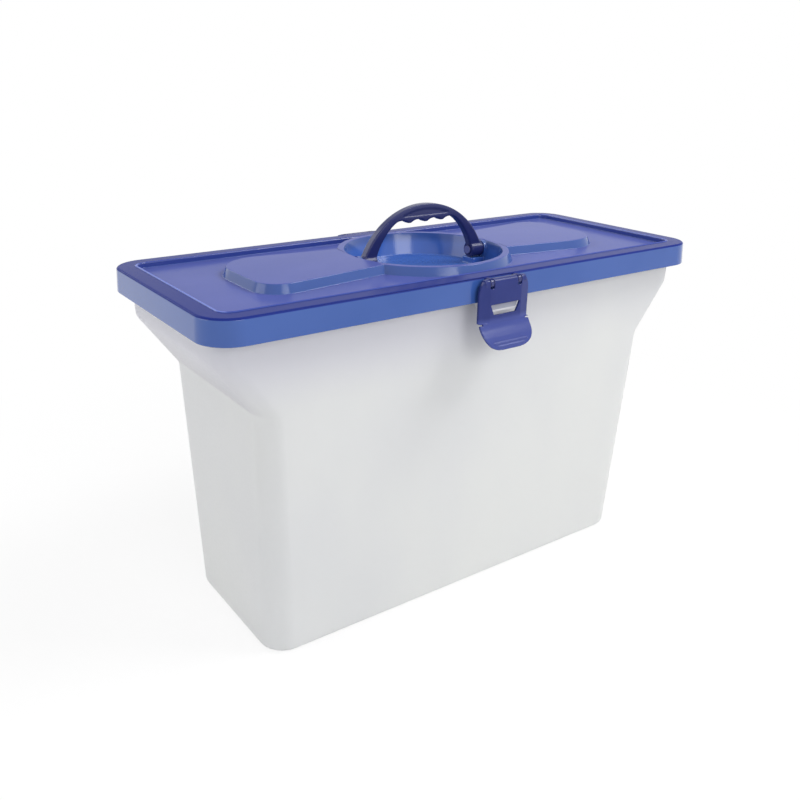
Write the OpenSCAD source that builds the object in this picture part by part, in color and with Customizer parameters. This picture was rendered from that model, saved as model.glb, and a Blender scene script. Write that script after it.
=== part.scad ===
// Portable file box: a deep tub with a ledge at each end, a lid that lifts off,
// an arch handle that folds down into the lid, and a latch on each long side.
// Millimetres. The box stands on z = 0, its length runs along x and its front faces -y.

/* [Tub] */
// Length of the mouth, across the end ledges
mouth_l = 420; // [400:1:440]
// Width of the mouth, front to back
mouth_w = 161.5; // [157:0.5:180]
// Corner radius of the mouth
mouth_r = 14; // [12:1:22]
// Height of the tub, to the top of its rim
tub_h = 265.1; // [220:0.1:320]
// Length of the body under the end ledges
body_l = 364; // [340:1:370]
// Length of the base
base_l = 360; // [330:1:364]
// Width of the base
base_w = 136; // [120:1:150]
// Corner radius of the base
base_r = 20; // [14:1:26]
// Rounding of the edge round the base
base_edge = 4; // [2:0.5:6]
// Height of the upright band above the ledges, up to the rim
band_h = 32; // [28:1:40]
// Height of the slope under each end ledge
slope_h = 40; // [30:1:60]
// Wall thickness of the tub
tub_wall = 2; // [1.5:0.1:3]
// Thickness of the floor of the tub
floor_t = 2.5; // [2:0.1:4]
// How far the rim stands out from the mouth at the two ends
rim_end = 6.4; // [5.5:0.1:9]
// How far it stands out at the front and back
rim_side = 7.65; // [6:0.05:10]
// Thickness of the rim
rim_t = 2; // [1.5:0.1:2.5]
// Height of the lip that turns down from the rim
lip_h = 8; // [6:0.5:10]
// Thickness of that lip
lip_t = 1.6; // [1.2:0.1:2]

/* [Lid] */
// Wall thickness of the lid
lid_wall = 2; // [1.6:0.1:2.4]
// Gap between the lip of the tub and the skirt of the lid
lid_gap = 0.6; // [0.4:0.1:1]
// Height of the skirt
skirt_h = 17.4; // [16:0.1:22]
// How far the skirt leans in from its lower edge to its top
skirt_draft = 1; // [0:0.1:1.5]
// Rounding of the edge round the top of the lid
lid_edge = 3; // [2:0.5:3.5]
// How far the panel lies below the border round it
panel_drop = 3.6; // [3:0.1:5]
// Least gap between the step down to the panel and the wall of the tub
step_gap = 0.75; // [0.5:0.05:2.5]

/* [Plateau on the lid] */
// Height of the plateau above the panel
plateau_h = 6.7; // [5:0.1:8]
// Width of the slope round the plateau
plateau_run = 5; // [3:0.5:6]
// Half the length of the plateau, at its top
arm_l = 159; // [145:1:170]
// Width of the plateau at its two ends
arm_end_w = 94; // [80:1:104]
// Width that the two arms would have at the middle
arm_neck_w = 46; // [40:1:56]
// Corner radius at the ends of the plateau
arm_r = 22; // [16:1:28]
// Radius of the ring round the well, at its top
ring_r = 67; // [66:0.5:69]

/* [Well] */
// Radius of the mouth of the well
well_r = 62.3; // [61:0.1:63]
// Radius of the floor of the well
well_floor_r = 57.2; // [56:0.1:59]
// Depth of the well, from the top of the plateau
well_depth = 17.5; // [16:0.5:20]

/* [Handle] */
// Height of the top of the handle above its pivots
arch_h = 41; // [36:1:44]
// Radius of the outer edge of the arch
arch_r = 62; // [58:1:66]
// Radius of the inner edge of the arch
arch_inner_r = 48; // [46:1:49]
// How far the centre of the inner edge lies below the pivots
arch_inner_drop = 10.4; // [9:0.1:12]
// Height of the underside of the grip above the pivots
grip_rise = 27.5; // [25:0.5:29]
// Thickness of the handle, front to back
handle_t = 7; // [5:0.5:9]
// Number of finger scallops under the grip
scallop_n = 4; // [2:1:4]
// Distance from one scallop to the next
scallop_pitch = 15.4; // [13:0.1:16]
// Radius of a scallop
scallop_r = 10; // [9:0.5:12]
// Depth of a scallop
scallop_depth = 2.2; // [1.5:0.1:2.5]
// Radius of the round foot
foot_r = 6; // [5:0.5:6.5]
// Thickness of the round foot, along the pivot
foot_l = 12; // [11.5:0.1:13]
// How far the pivots lie below the top of the plateau
pivot_drop = 6.5; // [6.5:0.5:8]
// Radius of the pivot pins
handle_pin_r = 2; // [1.5:0.1:2.5]
// Radius of the heads of the pivot pins
handle_pin_head_r = 3.2; // [3:0.1:4]

/* [Latches] */
// Width of a latch
latch_w = 46; // [44:1:50]
// Width of its flat middle
latch_flat_w = 28.8; // [28:0.2:32]
// How far its side edges lie behind its flat middle
latch_bevel = 1.1; // [0.5:0.1:1.6]
// Gap between its side edges and the skirt
latch_back = 2.4; // [1.5:0.1:2.6]
// Wall thickness of a latch
latch_wall = 1.9; // [1.6:0.1:2.2]
// Corner radius at the top of a latch
latch_r = 11; // [9:0.5:12]
// How far its hinge lies below the top of the lid
hinge_drop = 3.6; // [3.5:0.1:4]
// How far its hinge stands out from the skirt
hinge_out = 3.5; // [3.4:0.1:3.7]
// Length of the hinge end between the two ears of the lid
barrel_l = 22; // [18:1:24]
// Thickness of each ear
ear_t = 3; // [2:0.5:4]
// Radius of the hinge rod
rod_r = 1.25; // [1:0.05:1.5]
// Distance from the edge of the skirt down to the window
window_drop = 1.4; // [1:0.1:3]
// Height of the window
window_h = 7.7; // [7:0.1:10]
// Width of the window at its top
window_w = 27.2; // [24:0.1:30]
// Width of the window at its bottom
window_low_w = 20.4; // [18:0.1:23]
// Distance from the edge of the skirt down to the pull tab
tab_drop = 15; // [14:0.5:18]
// Height of the pull tab
tab_h = 17.5; // [16:0.5:22]
// How far the lower edge of the pull tab stands out from the flat middle
tab_out = 9; // [6:0.5:11]
// Corner radius at the bottom of the pull tab
tab_r = 14; // [10:0.5:15]
// Depth of the slit between the shell and the pull tab, from each side
slit_d = 3; // [2:0.5:4]

/* [Hidden] */

$fn = 64;
// Segments of a circle whose hull makes a smooth wall
loft_fn = 32;
// Height of the thin layers that a wall is stretched between
layer = 0.02;
// Extra length by which a cut runs past a face
past = 1;

// Gap between faces that lie on each other, and round a part that turns
seat_gap = 0.3;
// Radial gap of a pin in the part that turns on it, and in the part that holds it
turn_gap = 0.06;
hold_gap = 0.02;

// Rim of the tub, round its mouth
rim_l = mouth_l + 2 * rim_end;
rim_w = mouth_w + 2 * rim_side;
rim_r = mouth_r + rim_end;

// Lid, from the rim of the tub
lid_out = lid_gap + lid_wall + skirt_draft;
lid_l = rim_l + 2 * lid_out;
lid_w = rim_w + 2 * lid_out;
lid_r = rim_r + lid_out;
// Width of the raised border, whose step fits inside the mouth of the tub
border_w = lid_out + max(rim_end, rim_side) + tub_wall + step_gap + lid_wall;
lid_top_z = tub_h + seat_gap + lid_wall;
skirt_z = lid_top_z - skirt_h;
panel_z = lid_top_z - panel_drop;
plateau_z = panel_z + plateau_h;
well_floor_z = plateau_z - well_depth;

// Tub levels
ledge_z = tub_h - band_h;
shoulder_z = ledge_z - slope_h;

// Handle
pivot_z = plateau_z - pivot_drop;
bracket_gap = seat_gap;
// Radius of the wall of the well at the height of the pivots
well_pivot_r = well_r - (well_r - well_floor_r) * pivot_drop / well_depth;
// Least thickness of the pad that a handle foot turns against
pad_t = 2;
foot_out = well_pivot_r - pad_t - bracket_gap;
foot_in = foot_out - foot_l;
// Margin of the bracket round the foot
bracket_rim = 0.5;
bracket_w = 2 * (foot_r + bracket_rim);
handle_pin_head_t = 1.2;
// End of a pin that shows behind the wall of the well
handle_pin_tail = 1.5;
handle_pin_end = well_pivot_r + lid_wall + handle_pin_tail;

// Latches
hinge_z = lid_top_z - hinge_drop;
hinge_y = lid_w / 2 + hinge_out;
ear_gap = seat_gap;
// End of a rod outside each ear
rod_tail = 1;
rod_l = barrel_l + 2 * (ear_gap + ear_t + rod_tail);
// Radius of the rounded hinge end of a latch, and the flat middle that carries on from it
barrel_r = hinge_out - seat_gap;
latch_out = hinge_out + barrel_r;
window_z = skirt_z - window_drop;
tab_z = skirt_z - tab_drop;
latch_bottom_z = tab_z - tab_h;
slit_h = 1.2;
bead_r = 0.7;
bead_n = 2;
bead_pitch = 2.6;
bead_w = latch_w - 2 * tab_r;

// Catch lug
catch_gap = 0.6;
lug_wall = 2;
lug_h = 5.4;
lug_reach = 0.8;

// Width and corner radius of the tub at a height
function width_at(z) = base_w + (mouth_w - base_w) * z / tub_h;
function radius_at(z) = base_r + (mouth_r - base_r) * z / tub_h;

// Rounded rectangle about the origin
module plan(l, w, r) {
  square([l - 2 * r, w], center = true);
  square([l, w - 2 * r], center = true);
  for (sx = [-1, 1])
    for (sy = [-1, 1])
      translate([sx * (l / 2 - r), sy * (w / 2 - r)])
        circle(r);
}

// Thin layer of the tub at a height, drawn in by a margin
module tub_layer(z, l, margin) {
  translate([0, 0, z])
    linear_extrude(layer)
      plan(l - 2 * margin, width_at(z) - 2 * margin, radius_at(z) - margin, $fn = loft_fn);
}

// The tub as a solid block, or as its hollow when drawn in by the wall
module tub_block(margin, bottom, top) {
  hull() {
    for (a = [0 : 30 : 90])
      tub_layer(bottom + base_edge * (1 - cos(a)), base_l, margin + base_edge * (1 - sin(a)));
    tub_layer(shoulder_z, body_l, margin);
  }
  hull() {
    tub_layer(shoulder_z, body_l, margin);
    tub_layer(ledge_z, mouth_l, margin);
  }
  hull() {
    tub_layer(ledge_z, mouth_l, margin);
    tub_layer(top, mouth_l, margin);
  }
}

// Rim: a flat flange outwards, with a lip that turns down under the lid
module tub_rim() {
  difference() {
    translate([0, 0, tub_h - lip_h])
      linear_extrude(lip_h)
        plan(rim_l, rim_w, rim_r);
    translate([0, 0, tub_h - lip_h - past])
      linear_extrude(lip_h - rim_t + past)
        plan(rim_l - 2 * lip_t, rim_w - 2 * lip_t, rim_r - lip_t);
  }
}

// Half the width of the window at a depth below its top
function window_half_w(drop) = (window_w - (window_w - window_low_w) * drop / window_h) / 2;

// Outline of the catch lug, seen from the front: the window less a gap
module lug_outline(margin, bottom) {
  top = catch_gap + margin;
  polygon([
    for (corner = [[1, top], [1, bottom], [-1, bottom], [-1, top]])
      [corner[0] * (window_half_w(corner[1]) - catch_gap - margin), window_z - corner[1]]
  ]);
}

// Catch lug on the front wall: a hood, open below, with a middle rib
module lug() {
  front_y = lid_w / 2 + latch_out - latch_wall + lug_reach;
  wall_y = width_at(window_z - catch_gap - lug_h) / 2 - tub_wall / 2;
  difference() {
    translate([0, -wall_y, 0])
      rotate([90, 0, 0])
        linear_extrude(front_y - wall_y)
          lug_outline(0, catch_gap + lug_h);
    difference() {
      translate([0, -wall_y, 0])
        rotate([90, 0, 0])
          linear_extrude(front_y - wall_y - lug_wall)
            lug_outline(lug_wall, window_h + past);
      translate([-lug_wall / 2, -front_y, window_z - window_h - past])
        cube([lug_wall, front_y, window_h + past]);
    }
  }
}

module tub() {
  color("whitesmoke", 0.6) {
    difference() {
      union() {
        tub_block(0, 0, tub_h - layer);
        tub_rim();
        for (turn = [0, 180])
          rotate([0, 0, turn])
            lug();
      }
      tub_block(tub_wall, floor_t, tub_h + past);
    }
  }
}

// Section through the border of the lid, from its outer face inwards: skirt, flat border and step
module border_section() {
  top = lid_top_z;
  edge = [for (a = [0 : 15 : 90]) [1 - cos(a), 1 - sin(a)]];
  inner_edge = lid_edge - lid_wall;
  polygon(concat(
    [[0, skirt_z]],
    [for (e = edge) [skirt_draft + lid_edge * e[0], top - lid_edge * e[1]]],
    [[border_w, top], [border_w, panel_z - lid_wall], [border_w - lid_wall, panel_z - lid_wall]],
    [[border_w - lid_wall, top - lid_wall]],
    [for (i = [len(edge) - 1 : -1 : 0])
      [skirt_draft + lid_wall + inner_edge * edge[i][0], top - lid_wall - inner_edge * edge[i][1]]],
    [[lid_wall, skirt_z]]
  ));
}

// The section carried round the four sides and corners of the lid
module lid_border() {
  side_l = lid_l - 2 * lid_r;
  side_w = lid_w - 2 * lid_r;
  for (turn = [0, 180])
    rotate([0, 0, turn]) {
      translate([-side_l / 2, -lid_w / 2, 0])
        rotate([90, 0, 90])
          linear_extrude(side_l)
            border_section();
      translate([lid_l / 2, side_w / 2, 0])
        rotate([90, 0, 0])
          linear_extrude(side_w)
            mirror([1, 0])
              border_section();
    }
  for (sx = [-1, 1])
    for (sy = [-1, 1])
      translate([sx * side_l / 2, sy * side_w / 2, 0])
        mirror([sx > 0 ? 0 : 1, 0, 0])
          mirror([0, sy > 0 ? 0 : 1, 0])
            rotate_extrude(angle = 90)
              translate([lid_r, 0])
                mirror([1, 0])
                  border_section();
}

// One arm of the plateau, drawn in by the wall for its hollow
module plateau_arm(side, inset, top_z, foot_z) {
  foot_run = plateau_run - inset;
  hull()
    for (level = [[top_z, -inset], [foot_z, foot_run]])
      translate([0, 0, level[0]]) {
        for (sy = [-1, 1])
          translate([side * (arm_l - arm_r), sy * (arm_end_w / 2 - arm_r), -layer])
            cylinder(r = arm_r + level[1], h = layer, $fn = loft_fn);
        translate([-layer / 2, -arm_neck_w / 2 - level[1], -layer])
          cube([layer, arm_neck_w + 2 * level[1], layer]);
      }
}

// The plateau: two arms and the ring round the well
module plateau_block(inset, top_z, foot_z) {
  for (side = [-1, 1])
    plateau_arm(side, inset, top_z, foot_z);
  translate([0, 0, foot_z - layer])
    cylinder(r1 = ring_r + plateau_run - inset, r2 = ring_r - inset, h = top_z - foot_z + layer);
}

// The well as a cone, as its hollow or grown by the wall of the lid
module well_cone(grow, up) {
  slope = (well_r - well_floor_r) / well_depth;
  low = grow > 0 ? lid_wall : 0;
  translate([0, 0, well_floor_z - low])
    cylinder(r1 = well_floor_r + grow - slope * low, r2 = well_r + grow + slope * up,
             h = well_depth + low + up);
}

// Bracket for a foot of the handle: a pad on the wall of the well and a step under the foot
module handle_bracket(side) {
  pad_x = foot_out + bracket_gap;
  intersection() {
    union() {
      translate([side * (pad_x + well_r) / 2, 0, pivot_z])
        rotate([0, 90, 0])
          cylinder(d = bracket_w, h = well_r - pad_x, center = true);
      translate([side * (pad_x + well_r) / 2, 0, (well_floor_z + pivot_z) / 2])
        cube([well_r - pad_x, bracket_w, pivot_z - well_floor_z], center = true);
      translate([side * (foot_in + well_r) / 2, 0, (well_floor_z + pivot_z - foot_r - bracket_gap) / 2])
        cube([well_r - foot_in, bracket_w, pivot_z - foot_r - bracket_gap - well_floor_z], center = true);
    }
    well_cone(lid_wall / 2, 0);
  }
}

// Two ears on the front skirt that hold the rod of a latch
module latch_ears() {
  // From the hinge to the middle of the wall of the skirt
  root_y = hinge_out + skirt_draft + lid_wall / 2;
  for (s = [-1, 1])
    translate([s * (barrel_l / 2 + ear_gap + ear_t / 2), 0, 0]) {
      translate([0, -hinge_y, hinge_z])
        rotate([0, 90, 0])
          cylinder(r = barrel_r, h = ear_t, center = true);
      translate([-ear_t / 2, -hinge_y, hinge_z - barrel_r])
        cube([ear_t, root_y, 2 * barrel_r]);
      translate([ear_t / 2, root_y - hinge_y, hinge_z])
        rotate([0, -90, 0])
          linear_extrude(ear_t)
            polygon([[0, 0], [0, -root_y], [-barrel_r, -root_y],
                     [-barrel_r - hinge_out, hinge_out - root_y], [-barrel_r - hinge_out, 0]]);
    }
}

module lid() {
  color("royalblue", 0.8) {
    difference() {
      union() {
        lid_border();
        translate([0, 0, panel_z - lid_wall])
          linear_extrude(lid_wall)
            plan(lid_l - 2 * (border_w - lid_wall), lid_w - 2 * (border_w - lid_wall),
                 lid_r - border_w + lid_wall);
        plateau_block(0, plateau_z, panel_z);
        well_cone(lid_wall, 0);
        for (turn = [0, 180])
          rotate([0, 0, turn])
            latch_ears();
      }
      // Hollow under the plateau, round the shell of the well
      difference() {
        union() {
          translate([0, 0, panel_z - lid_wall - plateau_h])
            linear_extrude(plateau_h)
              plan(lid_l - 2 * border_w, lid_w - 2 * border_w, lid_r - border_w);
          plateau_block(lid_wall, plateau_z - lid_wall, panel_z - lid_wall);
        }
        well_cone(lid_wall, 0);
      }
      difference() {
        well_cone(0, past);
        for (side = [-1, 1])
          handle_bracket(side);
      }
      // Holes of the handle pins and of the latch rods
      for (side = [-1, 1])
        translate([side * (foot_out + handle_pin_end) / 2, 0, pivot_z])
          rotate([0, 90, 0])
            cylinder(r = handle_pin_r + hold_gap, h = handle_pin_end - foot_out + past, center = true);
      for (s = [-1, 1])
        translate([0, s * hinge_y, hinge_z])
          rotate([0, 90, 0])
            cylinder(r = rod_r + hold_gap, h = rod_l, center = true);
    }
  }
}

// Arch of the handle, seen from the front, with its origin on the line of the pivots
module arch_outline() {
  outer_drop = arch_r - arch_h;
  difference() {
    intersection() {
      translate([0, -outer_drop])
        circle(arch_r, $fn = 128);
      translate([-foot_out, 0])
        square([2 * foot_out, arch_h]);
    }
    difference() {
      translate([0, -arch_inner_drop])
        circle(arch_inner_r, $fn = 128);
      difference() {
        translate([-arch_r, grip_rise])
          square([2 * arch_r, arch_h]);
        for (i = [0 : scallop_n - 1])
          translate([(i - (scallop_n - 1) / 2) * scallop_pitch, grip_rise + scallop_depth - scallop_r])
            circle(scallop_r);
      }
    }
  }
}

module handle() {
  color("midnightblue") {
    difference() {
      translate([0, 0, pivot_z])
        union() {
          translate([0, handle_t / 2, 0])
            rotate([90, 0, 0])
              linear_extrude(handle_t)
                arch_outline();
          for (side = [-1, 1])
            translate([side * (foot_in + foot_out) / 2, 0, 0])
              rotate([0, 90, 0])
                cylinder(r = foot_r, h = foot_l, center = true);
        }
      translate([0, 0, pivot_z])
        rotate([0, 90, 0])
          cylinder(r = handle_pin_r + turn_gap, h = 2 * (foot_out + past), center = true);
    }
  }
}

// Pivot pin: a head inside the foot, and a shank into the wall of the well
module handle_pin(side) {
  color("slategray")
    translate([0, 0, pivot_z])
      rotate([0, side * 90, 0]) {
        translate([0, 0, foot_in])
          cylinder(r = handle_pin_r, h = handle_pin_end - foot_in);
        translate([0, 0, foot_in - seat_gap - handle_pin_head_t])
          cylinder(r = handle_pin_head_r, h = handle_pin_head_t);
        translate([0, 0, foot_in - seat_gap])
          cylinder(r = handle_pin_r, h = seat_gap);
      }
}

// Section through the shell of a latch, seen from above, with y pointing into the box
module shell_section(inset) {
  half = latch_w / 2 - inset;
  fold = latch_flat_w / 2;
  front = latch_out - inset;
  back = inset > 0 ? -past : latch_back;
  polygon([
    [-half, -back], [-half, latch_bevel - front], [-fold, -front],
    [fold, -front], [half, latch_bevel - front], [half, -back]
  ]);
}

// The same with its back filled in to the skirt, for the hinge end
module hinge_section() {
  shell_section(0);
  translate([-latch_w / 2, -latch_back - past])
    square([latch_w, latch_back + past]);
}

// Outline of a latch from the front, above the pull tab
module shell_outline() {
  top_z = hinge_z + barrel_r;
  translate([-latch_w / 2, tab_z])
    square([latch_w, top_z - latch_r - tab_z]);
  translate([-latch_w / 2 + latch_r, tab_z])
    square([latch_w - 2 * latch_r, top_z - tab_z]);
  for (s = [-1, 1])
    translate([s * (latch_w / 2 - latch_r), top_z - latch_r])
      circle(latch_r);
}

// Front face of the pull tab: how far it stands out at a depth below the shell
function tab_face(t) = latch_out + tab_out * (1 - cos(180 * pow(t, 0.75))) / 2;

module pull_tab() {
  steps = 12;
  intersection() {
    rotate([90, 0, 90])
      translate([0, 0, -latch_w / 2])
        linear_extrude(latch_w)
          polygon(concat(
            [for (i = [0 : steps]) [-tab_face(i / steps), tab_z - tab_h * i / steps]],
            [for (i = [steps : -1 : 0]) [-tab_face(i / steps) + latch_wall, tab_z - tab_h * i / steps]]
          ));
    rotate([90, 0, 0])
      linear_extrude(latch_out + tab_out + past) {
        translate([-latch_w / 2, latch_bottom_z + tab_r])
          square([latch_w, tab_h]);
        translate([-latch_w / 2 + tab_r, latch_bottom_z])
          square([latch_w - 2 * tab_r, tab_h]);
        for (s = [-1, 1])
          translate([s * (latch_w / 2 - tab_r), latch_bottom_z + tab_r])
            circle(tab_r);
      }
  }
  // Beads for the finger near the lower edge
  for (i = [1 : bead_n]) {
    t = 1 - (i * bead_pitch + bead_r) / tab_h;
    translate([0, -tab_face(t), tab_z - tab_h * t])
      rotate([0, 90, 0])
        cylinder(r = bead_r, h = bead_w, center = true, $fn = 24);
  }
}

// A latch on the front of the lid, drawn with y = 0 on the face of the skirt
module latch_body() {
  difference() {
    union() {
      // Shell, open behind
      intersection() {
        translate([0, 0, tab_z])
          linear_extrude(hinge_z - tab_z)
            difference() {
              shell_section(0);
              shell_section(latch_wall);
            }
        rotate([90, 0, 0])
          linear_extrude(latch_out + past)
            shell_outline();
      }
      // Rounded hinge end across the top
      intersection() {
        translate([0, -hinge_out, hinge_z])
          rotate([0, 90, 0])
            cylinder(r = barrel_r, h = latch_w, center = true);
        translate([0, 0, hinge_z - barrel_r])
          linear_extrude(2 * barrel_r)
            hinge_section();
        rotate([90, 0, 0])
          linear_extrude(latch_out + past)
            shell_outline();
      }
      pull_tab();
    }
    // Window over the catch
    rotate([90, 0, 0])
      linear_extrude(latch_out + past)
        polygon([
          [-window_w / 2, window_z], [window_w / 2, window_z],
          [window_low_w / 2, window_z - window_h], [-window_low_w / 2, window_z - window_h]
        ]);
    // Slots for the two ears, open at the top where the latch swings past them
    intersection() {
      for (s = [-1, 1])
        translate([s * (barrel_l / 2 + ear_gap + ear_t / 2), -hinge_out, hinge_z])
          rotate([0, 90, 0])
            cylinder(r = barrel_r + hinge_out, h = ear_t + 2 * ear_gap, center = true);
      translate([-latch_w / 2, -latch_out - past, hinge_z - barrel_r - seat_gap])
        cube([latch_w, 2 * latch_out, latch_out + 2 * past]);
    }
    // Slits between the shell and the pull tab
    for (s = [-1, 1])
      translate([s * latch_w / 2, -latch_out / 2, tab_z])
        cube([2 * slit_d, latch_out + 2 * past, slit_h], center = true);
    translate([0, -hinge_out, hinge_z])
      rotate([0, 90, 0])
        cylinder(r = rod_r + turn_gap, h = rod_l + 2 * seat_gap, center = true);
  }
}

module latch(turn) {
  color("darkslateblue")
    rotate([0, 0, turn])
      translate([0, -lid_w / 2, 0])
        latch_body();
}

module latch_rod(turn) {
  color("silver")
    rotate([0, 0, turn])
      translate([0, -hinge_y, hinge_z])
        rotate([0, 90, 0])
          cylinder(r = rod_r, h = rod_l, center = true);
}

tub();
lid();
handle();
handle_pin(-1);  // handle_pin_left
handle_pin(1);  // handle_pin_right
latch(0);  // front_latch
latch_rod(0);  // front_latch_pin
latch(180);  // back_latch
latch_rod(180);  // back_latch_pin
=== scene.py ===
import math

import bmesh
import bpy
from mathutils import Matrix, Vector


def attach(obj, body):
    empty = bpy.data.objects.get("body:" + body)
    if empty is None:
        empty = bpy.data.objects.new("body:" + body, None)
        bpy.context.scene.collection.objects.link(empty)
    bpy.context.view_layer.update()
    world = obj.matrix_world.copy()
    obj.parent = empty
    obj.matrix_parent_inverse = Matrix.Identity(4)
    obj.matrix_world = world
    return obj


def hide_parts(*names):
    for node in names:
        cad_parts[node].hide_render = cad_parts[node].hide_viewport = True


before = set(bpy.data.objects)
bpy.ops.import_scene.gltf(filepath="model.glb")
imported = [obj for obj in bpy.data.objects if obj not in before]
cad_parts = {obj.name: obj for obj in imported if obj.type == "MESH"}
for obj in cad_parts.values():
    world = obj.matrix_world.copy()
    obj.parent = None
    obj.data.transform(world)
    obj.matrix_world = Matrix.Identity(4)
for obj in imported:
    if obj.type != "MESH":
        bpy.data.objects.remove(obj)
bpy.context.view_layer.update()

# ------------------------------------------------------------------ camera
# The photograph looks a little down on the box, past its front left corner.
# Focal length, place and angles come from a fit to the edges of the lid and the tub.
bpy.ops.object.camera_add(
    location=(-0.39755, -0.52762, 0.40712),
    rotation=(math.radians(68.062), math.radians(-0.663), math.radians(-35.289)),
)
camera = bpy.context.object
camera.data.lens = 37.998
camera.data.sensor_width = 36
camera.data.clip_end = 50
bpy.context.scene.camera = camera

# ------------------------------------------------------------------ studio
# A white sweep under soft lamps. The floor stays a matt surface, so the box leaves its
# shadow there, and the room behind is white wherever it is seen directly or in a reflection.
bpy.context.scene.view_settings.view_transform = "Standard"
shadow_near, shadow_far, shadow_white = 0.30, 0.62, 0.80
ambient = 0.55

bpy.ops.mesh.primitive_plane_add(size=12, location=(0, 0, 0))
floor = bpy.context.object
floor.name = "floor"


class Shade:
    """One output socket of a shader, on which sums can be written."""

    def __init__(self, socket):
        self.socket = socket

    def node(self, kind, settings=None, inputs=None, output=0):
        """Adds any other node: its settings first, then a value or a link for its inputs."""
        made = self.socket.id_data.nodes.new(kind)
        for name, value in (settings or {}).items():
            setattr(made, name, value)
        for name, value in (inputs or {}).items():
            self.feed(made.inputs[name], value)
        return Shade(made.outputs[output])

    def feed(self, socket, value):
        """Links a value to a socket, or writes a plain number or colour there."""
        if isinstance(value, Shade):
            self.socket.id_data.links.new(value.socket, socket)
        else:
            socket.default_value = value

    def maths(self, operation, first, second=0.0):
        return self.node("ShaderNodeMath", {"operation": operation}, {0: first, 1: second})

    def __add__(self, other):
        return self.maths("ADD", self, other)

    def __sub__(self, other):
        return self.maths("SUBTRACT", self, other)

    def __rsub__(self, other):
        return self.maths("SUBTRACT", other, self)

    def __mul__(self, other):
        return self.maths("MULTIPLY", self, other)

    def size(self):
        """This value without its sign."""
        return self.maths("ABSOLUTE", self)

    def most(self, other):
        """The larger of two values."""
        return self.maths("MAXIMUM", self, other)

    def axes(self):
        """The three lengths of this place."""
        split = self.node("ShaderNodeSeparateXYZ", None, {"Vector": self})
        return [Shade(length) for length in split.socket.node.outputs]

    def length(self):
        """The distance of this place from the middle."""
        return self.node("ShaderNodeVectorMath", {"operation": "LENGTH"}, {0: self}, 1)

    def span(self, low, high, start=0.0, end=1.0):
        """Goes smoothly from start to end while this value goes from low to high."""
        return self.node(
            "ShaderNodeMapRange", {"interpolation_type": "SMOOTHSTEP"},
            {0: self, 1: low, 2: high, 3: start, 4: end},
        )

    def fall(self, low, high):
        """Goes smoothly from 1 to 0 while this value goes from low to high."""
        return self.span(low, high, 1, 0)

    def spread(self, start=0.0, end=1.0):
        """Stretches noise, which stays mostly between 0.3 and 0.7, from start to end."""
        return self.span(0.3, 0.7, start, end)

    def blend(self, first, second):
        """One colour where this value is 0 and another where it is 1."""
        return self.node("ShaderNodeMix", {"data_type": "RGBA"}, {0: self, 6: first, 7: second}, 2)

    def noise(self, scale, detail=2.0, rough=0.5, stretch=(1, 1, 1)):
        """Soft noise over this place, of about scale spots to the metre."""
        placed = self.node("ShaderNodeMapping", None, {"Vector": self, "Scale": stretch})
        return self.node(
            "ShaderNodeTexNoise", None,
            {"Vector": placed, "Scale": scale, "Detail": detail, "Roughness": rough},
        )

    def bump(self, strength, distance):
        """The normal of a surface with this value as its height."""
        return self.node(
            "ShaderNodeBump", None, {"Strength": strength, "Distance": distance, "Height": self}
        )


def seen_directly(tree):
    """At least 1 for a ray from the camera or a reflection, and 0 for one that only brings light."""
    ray = tree.nodes.new("ShaderNodeLightPath").outputs
    return Shade(ray["Is Camera Ray"]) + Shade(ray["Is Glossy Ray"]) + Shade(ray["Is Transmission Ray"])


sweep = bpy.data.materials.new("white_sweep")
sweep.use_nodes = True
nodes = sweep.node_tree.nodes
matt = nodes["Principled BSDF"]
matt.inputs["Roughness"].default_value = 0.9
matt.inputs["Specular IOR Level"].default_value = 0.1
place = Shade(nodes.new("ShaderNodeTexCoord").outputs["Object"])
matt_paint = place.noise(9.0).blend((0.93, 0.93, 0.935, 1), (0.96, 0.96, 0.96, 1))
place.feed(matt.inputs["Base Color"], matt_paint)
far_off = place.length().span(shadow_near, shadow_far, shadow_white, 1.0)
bare = seen_directly(sweep.node_tree).span(0.0, 1.0) * far_off
glow = place.node("ShaderNodeEmission", None, {"Color": (1, 1, 1, 1), "Strength": 1.0})
mixed = place.node("ShaderNodeMixShader", None, {0: bare, 1: Shade(matt.outputs[0]), 2: glow})
place.feed(nodes["Material Output"].inputs["Surface"], mixed)
floor.data.materials.append(sweep)

world = bpy.data.worlds.new("room")
bpy.context.scene.world = world
world.use_nodes = True
background = world.node_tree.nodes["Background"]
background.inputs["Color"].default_value = (1, 1, 1, 1)
direct = seen_directly(world.node_tree)
direct.feed(background.inputs["Strength"], direct.span(0.0, 1.0, ambient, 1.0))


def softbox(name, place, aim, size, power):
    """A square lamp of a size in metres and a power in watts, turned from its place to its aim."""
    bpy.ops.object.light_add(type="AREA", location=place)
    lamp = bpy.context.object
    lamp.name = name
    lamp.rotation_euler = (Vector(aim) - Vector(place)).to_track_quat("-Z", "Y").to_euler()
    lamp.data.size = size
    lamp.data.energy = power


softbox("lamp_above", (0.86, -0.66, 1.5), (0, 0, 0.2), 0.7, 15)
softbox("lamp_front", (-0.1, -1.7, 0.9), (0, 0, 0.15), 0.8, 9)
softbox("lamp_left", (-1.5, 0.4, 0.6), (0, 0, 0.15), 1.0, 5)
softbox("lamp_back", (-0.8, 1.5, 1.2), (0, 0, 0.15), 1.0, 7)

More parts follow.
